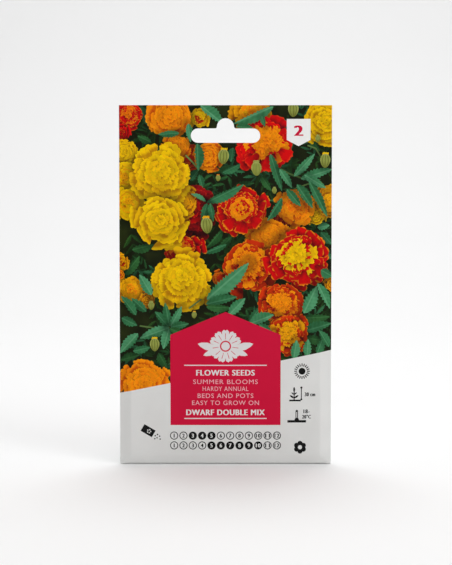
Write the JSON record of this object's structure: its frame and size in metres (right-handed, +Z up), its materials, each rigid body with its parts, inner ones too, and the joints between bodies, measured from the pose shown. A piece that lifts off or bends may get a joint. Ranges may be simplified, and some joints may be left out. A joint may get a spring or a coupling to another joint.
{
  "type": "seed packet",
  "caption": "Flat folded-paper seed packet with a printed flower picture, a hang slot in its glued header and a sealed inner sachet of seeds.",
  "frame": {"origin": "middle of the base that the packet stands on, half way through its depth", "axes": "+Z up along the packet, +X to the right as the printed front is seen, +Y out of the back; the printed front faces -Y"},
  "size_m": [0.095, 0.0064, 0.161],
  "materials": {
    "printed_paper": "satin coated paper, offset printed",
    "dry_glue": "dry, slightly yellowed adhesive",
    "foil_laminate": "satin foil laminate",
    "seed_husk": "matt dry husk"
  },
  "bodies": {
    "root": {"paper_envelope": "printed_paper", "lap_seam_glue": "dry_glue", "bottom_flap_glue": "dry_glue", "header_glue": "dry_glue", "sachet_front_film": "foil_laminate", "sachet_back_film": "foil_laminate", "seed_01": "seed_husk", "seed_02": "seed_husk", "seed_03": "seed_husk", "seed_04": "seed_husk", "seed_05": "seed_husk", "seed_06": "seed_husk", "seed_07": "seed_husk", "seed_08": "seed_husk", "seed_09": "seed_husk", "seed_10": "seed_husk", "seed_11": "seed_husk", "seed_12": "seed_husk", "seed_13": "seed_husk", "seed_14": "seed_husk", "seed_15": "seed_husk", "seed_16": "seed_husk", "seed_17": "seed_husk", "seed_18": "seed_husk", "seed_19": "seed_husk", "seed_20": "seed_husk", "seed_21": "seed_husk", "seed_22": "seed_husk", "seed_23": "seed_husk", "seed_24": "seed_husk"}
  },
  "joints": []
}
